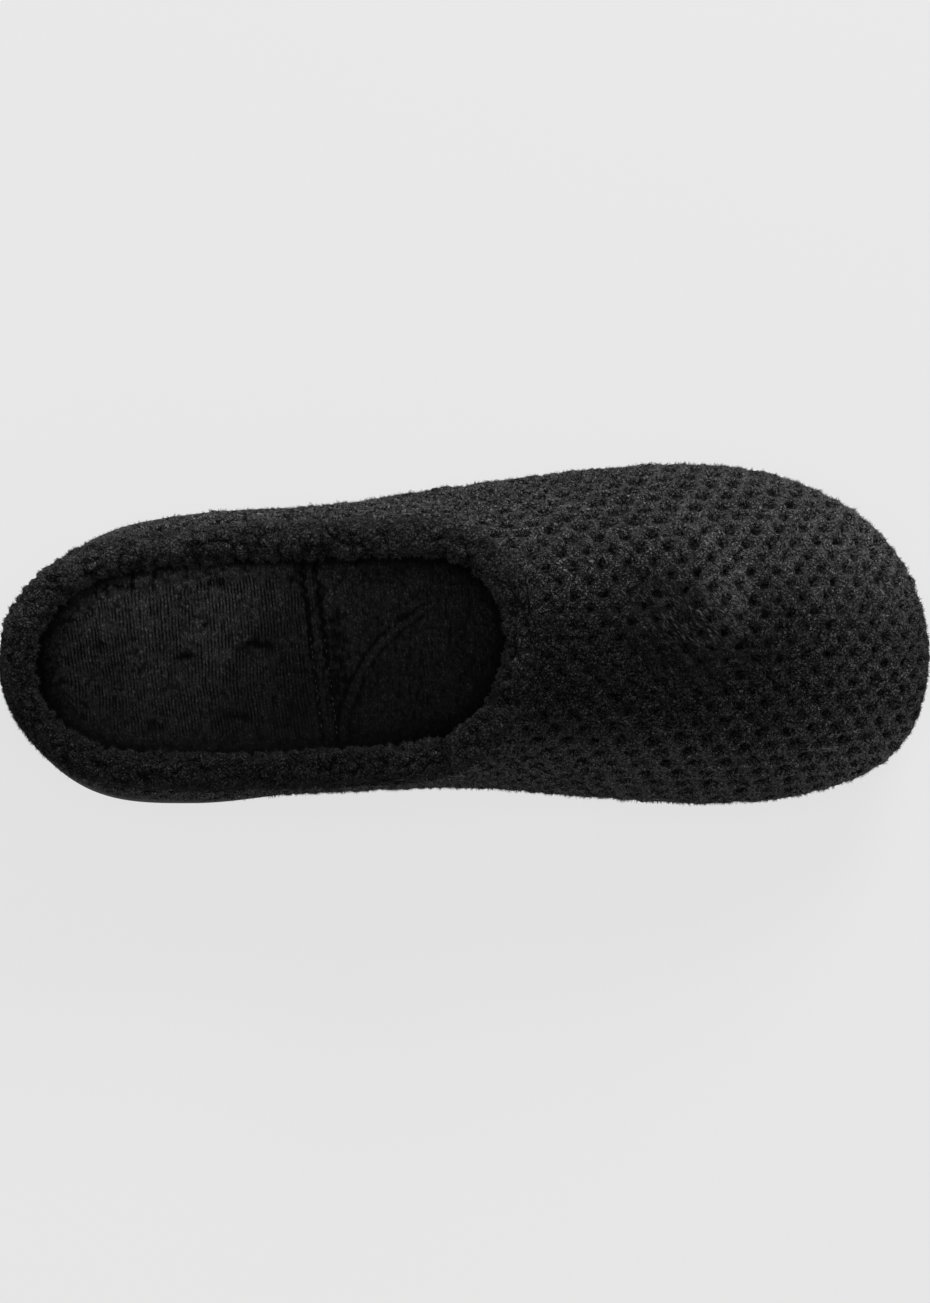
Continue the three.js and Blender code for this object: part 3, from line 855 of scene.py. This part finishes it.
class CollarOperator(bpy.types.Operator):
    """Adds the padded collar roll with its pile"""

    bl_idname = "slipper.add_collar"
    bl_label = "Collar"

    def execute(self, context):
        last, plush, colours = sizes_and_colours(context.scene)
        around, girth = 700, 64
        t = even_places(last.collar, around)
        angle = TURN * np.arange(girth) / girth
        grid = last.roll(t[:, None] + 0 * angle, angle[None, :] + 0 * t[:, None])
        out = normals_of(grid, closed_rows=True)
        bent = grid + 0.9 * wander_3(grid, 3.2, 31.0)
        lumps, small = clumps(bent, 3.9, 8.0), clumps(bent, 1.7, 2.0)
        gaps = (1 - smooth(lumps / 0.7)) * np.clip(0.7 + 1.1 * wander(grid, 5.0, 3.9), 0, 1)
        gaps *= 1 - 0.5 * np.clip(np.cos(angle), 0, 1)[None, :]
        # The creases between the roll's lumps are painted darker, as painted shade.
        hollow = 0.95 * gaps
        height = 0.4 - 1.5 * gaps + 0.28 * (small - 0.6) + 0.5 * wander(grid, 4.0, 8.1)
        skin = grid + out * (height - plush.pile_inset / MM - self.tight(last, grid, angle))[..., None]
        cloth, tips = colours.plush[:], colours.collar[:]
        finish = plush_finish("collar_plush", cloth, tips, 0.05, evenness=0.12)
        faces = ring_faces(around, girth, True)
        piece = new_piece("collar_plush", skin, faces, finish)
        painted_light = self.painted_light(last, grid, angle)
        # The roll's painted light and shade, with the creases between small clumps painted a little darker.
        set_attribute(piece, "hollow", np.clip(1 - painted_light * (1 - hollow) * (0.85 + 0.15 * small), 0, 1))
        set_attribute(piece, "stroked", np.zeros(small.shape))
        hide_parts("collar")
        skin, out, hollow, painted_light = (np.concatenate([part, part[:, :1]], 1) for part in (skin, out, hollow, painted_light))
        turn = np.degrees(np.append(angle, TURN))
        under = (turn > 250) & (turn < 325)
        seen = np.where(under, 0.0, 1.0) * (1 - 0.8 * hollow)
        drift = 0.8 * wander_3(skin, 3.5, 21.0)
        finish = pile_finish("collar_pile", cloth, tips, 0.08)
        pile(["collar_pile"], skin, out, hollow, seen, painted_light, drift, 0.5, plush, 12, finish, "collar_plush")
        return {"FINISHED"}

    @staticmethod
    def painted_light(last, grid, angle):
        """Painted light and shade of the roll: lighter outside its ridge on the lateral side, darker inside.
        """
        along, across = last.shares(grid)
        lateral = smooth((across + 0.5) / 1.1)
        outer = smooth((np.cos(angle) + 0.8) / 1.2)[None, :]
        heel = lerp(1.0, 0.65, smooth((along + 0.6) / 0.3))
        throat = 0.16 * smooth((along + 0.25) / 0.2) * smooth((0.1 - across) / 0.3)
        # Painted shade medially, a little lighter towards the throat; painted light outside laterally, most
        # at the heel.
        return lerp(0.225 + throat, lerp(0.57, 0.9 * heel, outer), lateral)

    @staticmethod
    def tight(last, grid, angle):
        """How far the roll is pulled in where it would hide the sole's edge, at the medial back."""
        along, across = last.shares(grid)
        back, medial = smooth((-0.78 - along) / 0.12), smooth((0.1 - across) / 0.4)
        return 1.3 * back * medial * np.clip(np.cos(angle), 0, 1)[None, :]


def seam_distance(x, y, seam):
    """Distance from a leaning cross seam, in millimetres."""
    return x - (seam["middle"] + seam["lean"] * y)


def arc_distance(x, y):
    """How far each place is from the middle of the raised seam, the seam's half width there, and its side."""
    best = np.full(x.shape, 1e6)
    outer = np.zeros(x.shape, bool)
    half = np.full(x.shape, ARC_SEAM[-1]["half"])
    for a, b in zip(ARC_SEAM, ARC_SEAM[1:]):
        dx, dy = b["x"] - a["x"], b["y"] - a["y"]
        f = np.clip(((x - a["x"]) * dx + (y - a["y"]) * dy) / (dx * dx + dy * dy), 0, 1)
        away = np.hypot(x - a["x"] - f * dx, y - a["y"] - f * dy)
        half = np.where(away < best, lerp(a["half"], b["half"], f), half)
        outer = np.where(away < best, (y - a["y"]) * dx > (x - a["x"]) * dy, outer)
        best = np.minimum(best, away)
    return best, half, outer


def insole_relief(x, y, inside, plush):
    """Height and hollow of the insole's ribs, seams and pinched spots, with painted shade and highlights."""
    rib = plush.rib_pitch / MM
    spots = np.stack([x, y, 0 * x], -1)
    drift = 0.25 * wander(spots, 4.0, 1.0) + 0.12 * wander(spots, 1.2, 7.0) + 1.2 * wander(spots, 26.0, 2.0)
    broken = np.clip(0.7 + 1.2 * wander(spots, 3.5, 5.5) + 0.8 * wander(spots, 1.2, 2.5), 0.0, 1.5)
    broken *= lerp(1, 0.25, smooth((x + 46) / 8)) * smooth((inside - 1) / 4)
    ribs = np.cos(TURN * (x + 0.1 * y + drift) / rib) * broken
    grain = 0.6 * wander(spots, 1.0, 5.1) + lerp(0.5, 0.3, smooth((x + 46) / 8)) * wander(spots, 1.9, 9.6)
    height = 0.16 * ribs + 0.35 * wander(spots, 9.0, 8.0) + 0.2 * grain
    hollow = np.clip(0.4 - 0.75 * ribs - 1.3 * grain, 0, 0.97)
    for seam in CROSS_SEAMS:
        scallop = 0.4 * np.sin(TURN * y / 3.4 + seam["middle"]) + 0.4 * wander(spots, 3.0, seam["middle"])
        away = np.abs(seam_distance(x, y, seam) + scallop)
        lateral = smooth((y + 12) / 14)
        firm = lerp(0.8, 1.2, lateral) * np.clip(1 + 0.6 * wander(spots, 1.7, 4.4), 0, 1.2)
        groove = bell(away, lerp(0.44, 0.56, lateral)) * firm
        height -= 0.9 * groove
        hollow += 0.95 * groove
    beyond = seam_distance(x, y, CROSS_SEAMS[-1]) - 2.5
    hollow += 0.4 * bell(beyond, 3.0) * smooth((6 - y) / 12)
    off, half, outer = arc_distance(x, y)
    off = off + 0.35 * wander(spots, 2.0, 9.1)
    rope = 0.7 + 0.3 * np.cos(TURN * (x + y) / 2.6)
    band = bell(off, half, 4) * smooth((-8.0 - x) / 4)
    height += 0.8 * rope * band
    # The raised band is painted lighter: a painted highlight.
    hollow -= 0.55 * band * rope
    # Dark lines along the band's edges, partly the seam itself and partly painted shade, darker on the outer
    # side.
    line = bell(off - half - 0.25, 0.46) * smooth((-8.5 - x) / 4) * np.where(outer, 1.15, 0.7)
    line *= np.clip(0.9 + 1.0 * wander(spots, 2.4, 6.6), 0, 1.2)
    height -= 0.6 * line
    hollow += 0.95 * line
    for pinch in PINCHES:
        dx, dy = x - pinch["at"][0], y - pinch["at"][1]
        bend = dy + 0.18 * dx * dx / pinch["length"] + 0.9 * wander(spots, 2.4, pinch["length"])
        span = bell(dx, 1.3 * pinch["length"], 4)
        dent = span * bell(bend, 0.7)
        swell = span * bell(bend + 2.4, 1.5)
        height += pinch["depth"] * (0.6 * swell - dent)
        # Painted shade in and around each dent, and a painted highlight on the swell beside it.
        hollow += pinch["depth"] * (0.55 * dent + 0.3 * bell(bend, 2.4) * span - 0.25 * swell)
    return height, np.clip(hollow, 0, 1)


class InsoleOperator(bpy.types.Operator):
    """Adds the ribbed insole with its seams, pinched spots and stitches"""

    bl_idname = "slipper.add_insole"
    bl_label = "Insole"

    def execute(self, context):
        last, plush, colours = sizes_and_colours(context.scene)
        seen_rows, hidden_rows, across = 600, 140, 96
        along = seen_rows + hidden_rows
        inset = last.wall + last.fit_gap
        span = last.half_length - last.back
        back, front, under_throat = last.back + inset + 0.6, last.half_length - inset - 1.2, 16.0
        x = np.concatenate([
            np.linspace(back, under_throat, seen_rows, endpoint=False),
            np.linspace(under_throat, front, hidden_rows),
        ])
        s = np.arccos(1 - 2 * (x - last.back) / span) / math.pi
        edges = []
        for sign in (1, -1):
            fine = np.linspace(0, 0.5, 2001)
            fine = fine if sign > 0 else 1 - fine
            line = last.widest(fine)
            drawn_in = inset + 0.35 * column(SECTIONS, "tuck", station_of(fine)) * last.tuck
            inner = line - outward(last.widest, fine) * drawn_in[:, None]
            order = np.argsort(inner[:, 0])
            edges.append(np.interp(x, inner[order, 0], inner[order, 1]))
        q = np.linspace(0, 1, across)
        y = lerp(edges[0][:, None], edges[1][:, None], q[None, :])
        xs = x[:, None] + 0 * y
        inside = self.inside(last, xs, y)
        relief, hollow = insole_relief(xs, y, inside, plush)
        # The cloth's painted light and shade darken it further.
        hollow = 1 - self.tone(last, xs, y, inside) * (1 - hollow)
        edge = np.minimum(np.abs(y - edges[0][:, None]), np.abs(y - edges[1][:, None]))
        top = last.insole_top(xs, y) + relief * smooth(edge / 2) - 0.8 * (1 - smooth(edge / 1.5))
        grid = np.stack([xs, y, top], -1)
        under = np.stack([np.stack([x, e, last.sole_top(x) + last.fit_gap], -1) for e in edges], 1)
        points = np.concatenate([grid.reshape(-1, 3), under.reshape(-1, 3)])
        i, j = np.arange(along - 1)[:, None], np.arange(across - 1)[None, :]
        a = i * across + j
        faces = [np.stack([a, a + across, a + across + 1, a + 1], -1).reshape(-1, 4)]
        i = np.arange(along - 1)
        low = along * across + 2 * i
        left, right = i * across, i * across + across - 1
        faces.append(np.stack([left, low, low + 2, left + across], -1))
        faces.append(np.stack([right, right + across, low + 3, low + 1], -1))
        faces.append(np.stack([low, low + 1, low + 3, low + 2], -1))
        end = (along - 1) * across
        tail = along * across
        head = tail + 2 * (along - 1)
        j = np.arange(across - 1)
        share = (j + 0.5) / (across - 1)
        for first, corner, turned in ((0, tail, False), (end, head, True)):
            fan = np.stack([first + j, first + j + 1, np.where(share < 0.5, corner, corner + 1)], -1)
            middle = np.argmin(np.abs(share - 0.5))
            closing = np.array([[first + middle + (share[middle] < 0.5), corner + 1, corner]])
            fan = np.concatenate([fan, closing])
            faces.append(fan[:, ::-1] if turned else fan)
        piece = self.mesh(points, faces, insole_finish(colours.insole[:]))
        set_attribute(piece, "hollow", np.concatenate([hollow.ravel(), np.full(2 * along, 0.5)]))
        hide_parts("insole")
        self.stitches(last, thread_finish(colours.thread[:]))
        return {"FINISHED"}

    @staticmethod
    def inside(last, x, y):
        """How far inside the roll's inner edge each place lies, seen from above. Negative under the roll."""
        t = np.linspace(0, 1, 400, endpoint=False)
        rim = last.roll(t, np.full(len(t), math.pi))
        tree = tree_of(rim * [1, 1, 0])
        away = np.array([tree.find((a, b, 0))[2] for a, b in zip(x.ravel(), y.ravel())]).reshape(x.shape)
        half = len(rim) // 2
        lateral = np.interp(x, rim[:half, 0], rim[:half, 1])
        medial = np.interp(x, rim[:half - 1:-1, 0], rim[:half - 1:-1, 1])
        within = (y < lateral) & (y > medial) & (x > rim[:, 0].min()) & (x < rim[:, 0].max())
        return np.where(within, away, -away)

    @staticmethod
    def tone(last, x, y, inside):
        """Painted light and shade: lighter at the heel and laterally, darker towards the toe and under the
        roll's edge.
        """
        across = y / last.half_ball
        lateral = 0.32 * smooth((across - 0.05) / 0.3) * lerp(1.0, 0.1, smooth((x + 52) / 20))
        side = lerp(0.15, 0.68, smooth((across + 0.62) / 0.86)) + lateral
        forefoot = lerp(0.64, 0.5, smooth((across + 0.6) / 0.5))
        # Painted shade towards the toe, where the vamp stands over the cloth.
        front = lerp(1.0, forefoot, smooth((x + 75) / 28))
        front *= lerp(1.0, 0.75, smooth((x + 45) / 35) * smooth((across + 0.5) / 0.5))
        heel = smooth((-97 - x) / 11)
        # Painted shade under the roll's inner edge, wider at the heel.
        ramp = np.maximum(lerp(4.5, 1.5, smooth((across + 0.1) / 0.4)), 6 * heel)
        rim = smooth((inside + 1.2 + 1.6 * heel) / (1.4 + 1.8 * heel))
        return side * front * lerp(0.06, 0.45, rim) * lerp(1, 2.2, smooth((inside + heel) / ramp))

    @staticmethod
    def mesh(points, faces, material):
        """The insole has quads and a few triangles, so its mesh is made from lists."""
        mesh = bpy.data.meshes.new("insole_terry")
        lists = [face for part in faces for face in part.tolist()]
        mesh.from_pydata((points * MM).tolist(), [], lists)
        mesh.validate()
        mesh.shade_smooth()
        mesh.materials.append(material)
        return add_piece("insole_terry", mesh)

    @staticmethod
    def stitches(last, material):
        """Pale stitches along the cross seams, each a small closed eight-sided bead."""
        rows = []
        draw = np.random.default_rng(13)
        medial_end, lateral_end, step, jitter, share_kept = -27.5, -1.0, 1.6, 0.25, 0.75
        for seam in CROSS_SEAMS:
            for y in np.arange(medial_end, lateral_end, step):
                y += draw.normal(0, jitter)
                if draw.random() < share_kept:
                    rows.append((seam["middle"] + seam["lean"] * y, y, math.atan2(1, seam["lean"])))
        x, y, heading = np.array(rows).T
        z = last.insole_top(x, y) - 0.35
        along = np.stack([np.cos(heading), np.sin(heading), 0 * x], -1)
        cross = np.stack([-along[:, 1], along[:, 0], 0 * x], -1)
        at = np.stack([x, y, z], -1)
        up = np.array([0, 0, 1.0])
        corners = [-0.5 * along, 0.5 * along, -0.2 * cross, 0.2 * cross, -0.16 * up, 0.2 * up]
        points = np.stack([at + corner for corner in corners], 1)
        octahedron = [[0, 2, 5], [2, 1, 5], [1, 3, 5], [3, 0, 5], [2, 0, 4], [1, 2, 4], [3, 1, 4], [0, 3, 4]]
        faces = (6 * np.arange(len(rows))[:, None, None] + np.array(octahedron)).reshape(-1, 3)
        return new_piece("insole_stitches", points, faces, material)


class OutsoleOperator(bpy.types.Operator):
    """Adds the rubber outsole, smoothly shaded, from the frame's own solid"""

    bl_idname = "slipper.add_outsole"
    bl_label = "Outsole"

    def execute(self, context):
        last, colours = Last(context.scene.slipper_form), context.scene.slipper_colours
        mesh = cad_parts["outsole"].data.copy()
        mesh.name = "outsole_rubber"
        form = bmesh.new()
        form.from_mesh(mesh)
        bmesh.ops.remove_doubles(form, verts=form.verts, dist=1e-6)
        self.round_out(form, last)
        corner, outwards, push, width = Vector((-0.112, -0.033)), Vector((-0.62, -0.78)), 0.0009, 0.024
        for vert in form.verts:
            away = (vert.co.xy - corner).length / width
            vert.co.xy += push * math.exp(-away * away) * outwards
        for face in form.faces:
            face.smooth = True
        for edge in form.edges:
            edge.smooth = len(edge.link_faces) == 2 and edge.calc_face_angle(0) < math.radians(38)
        form.to_mesh(mesh)
        form.free()
        mesh.materials.clear()
        mesh.materials.append(rubber_finish(colours.rubber[:]))
        piece = add_piece("outsole_rubber", mesh)
        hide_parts("outsole")
        return {"FINISHED"}

    @staticmethod
    def round_out(form, last, stations=64, edge_width=2.1, cuts=3):
        """Splits the sole's edge between its stations and moves the new places out onto its true curve."""
        steps = 100 * stations
        fine = np.arange(steps) / steps
        line, away = last.sole_line(fine), outward(last.sole_line, fine)
        tree = tree_of(line)
        cosine, sine, out = (form.verts.layers.float.new(name) for name in ("cosine", "sine", "out"))
        on_edge = set()
        for vert in form.verts:
            place = Vector((vert.co.x / MM, vert.co.y / MM, 0))
            index = tree.find(place)[1]
            vert[cosine], vert[sine] = math.cos(TURN * fine[index]), math.sin(TURN * fine[index])
            vert[out] = (place - Vector(line[index])).dot(Vector(away[index]))
            if vert[out] > -edge_width:
                on_edge.add(vert)
        one_station = 2 * math.sin(math.pi / stations)
        along = []
        for edge in form.edges:
            a, b = edge.verts
            turn = math.hypot(a[cosine] - b[cosine], a[sine] - b[sine]) / one_station
            if a in on_edge and b in on_edge and 0.5 < turn < 1.5:
                along.append(edge)
        old = set(form.verts)
        bmesh.ops.subdivide_edges(form, edges=along, cuts=cuts)
        new = [vert for vert in form.verts if vert not in old]
        t = np.array([math.atan2(vert[sine], vert[cosine]) / TURN for vert in new])
        places = last.sole_line(t) + outward(last.sole_line, t) * np.array([[vert[out]] for vert in new])
        for vert, point in zip(new, places):
            vert.co.xy = point[0] * MM, point[1] * MM
        bmesh.ops.triangulate(form, faces=form.faces)


class StageOperator(bpy.types.Operator):
    """Adds the pale floor, the soft lights and the camera over the slipper"""

    bl_idname = "slipper.add_stage"
    bl_label = "Stage"

    def execute(self, context):
        scene = context.scene
        scene.view_settings.view_transform = "Standard"
        scene.view_settings.look = "None"
        self.floor(scene.slipper_colours.floor[:])
        self.light("key", (0.45, 1.25, 0.85), (0.02, 0, 0.03), 0.7, 15.0)
        self.light("overhead", (0.0, 0.1, 1.6), (0, 0, 0), 1.0, 6.5)
        world = bpy.data.worlds.new("studio")
        world.use_nodes = True
        back = world.node_tree.nodes["Background"]
        back.inputs["Color"].default_value = (1, 1, 1, 1)
        back.inputs["Strength"].default_value = 0.22
        scene.world = world
        camera = bpy.data.cameras.new("camera")
        camera.sensor_width = 36
        height, picture_height, pixel = 1.004, 1303, 0.2824 * MM
        camera.lens = camera.sensor_width * height / (picture_height * pixel)
        scene.camera = placed("camera", camera)
        scene.camera.location = (0.0006, -0.0051, height)
        return {"FINISHED"}

    @staticmethod
    def floor(shade):
        """A wide, pale, evenly lit sheet just under the slipper."""
        finish = Finish("floor_paper", roughness=0.9, specular_ior_level=0.0, emission_color=shade,
                        emission_strength=0.89, base_color=scaled(shade, 0.15))
        mesh = bpy.data.meshes.new("floor")
        r, z = 6.0, -0.0002
        mesh.from_pydata([(-r, -r, z), (r, -r, z), (r, r, z), (-r, r, z)], [], [(0, 1, 2, 3)])
        mesh.materials.append(finish.material)
        floor = placed("floor", mesh)

    @staticmethod
    def light(name, at, to, width, power):
        """A round soft light at one place that faces another."""
        lamp = bpy.data.lights.new(name, "AREA")
        lamp.shape = "DISK"
        lamp.size = width
        lamp.energy = power
        made = placed(name, lamp)
        made.location = at
        made.rotation_euler = (Vector(to) - Vector(at)).to_track_quat("-Z", "Y").to_euler()


OPERATORS = [OutsoleOperator, InsoleOperator, UpperOperator, CollarOperator, StageOperator]


class SlipperPanel(bpy.types.Panel):
    """Lists the slipper's pieces and sizes"""

    bl_idname = "VIEW3D_PT_slipper"
    bl_label = "Plush House Slipper"
    bl_space_type = "VIEW_3D"
    bl_region_type = "UI"
    bl_category = "Slipper"

    def draw(self, context):
        for operator in OPERATORS:
            self.layout.operator(operator.bl_idname)
        scene = context.scene
        for group in (scene.slipper_form, scene.slipper_plush, scene.slipper_colours):
            box = self.layout.box()
            for name in type(group).__annotations__:
                box.prop(group, name)


GROUPS = dict(slipper_form=SlipperForm, slipper_plush=PlushForm, slipper_colours=SlipperColours)


def register():
    for one in (*GROUPS.values(), *OPERATORS, SlipperPanel):
        bpy.utils.register_class(one)
    for name, group in GROUPS.items():
        setattr(bpy.types.Scene, name, PointerProperty(type=group))


def unregister():
    for name in GROUPS:
        delattr(bpy.types.Scene, name)
    for one in reversed((*GROUPS.values(), *OPERATORS, SlipperPanel)):
        bpy.utils.unregister_class(one)


def main():
    register()
    for step in (
        bpy.ops.slipper.add_outsole,
        bpy.ops.slipper.add_insole,
        bpy.ops.slipper.add_upper,
        bpy.ops.slipper.add_collar,
        bpy.ops.slipper.add_stage,
    ):
        step()


if __name__ == "__main__":
    main()
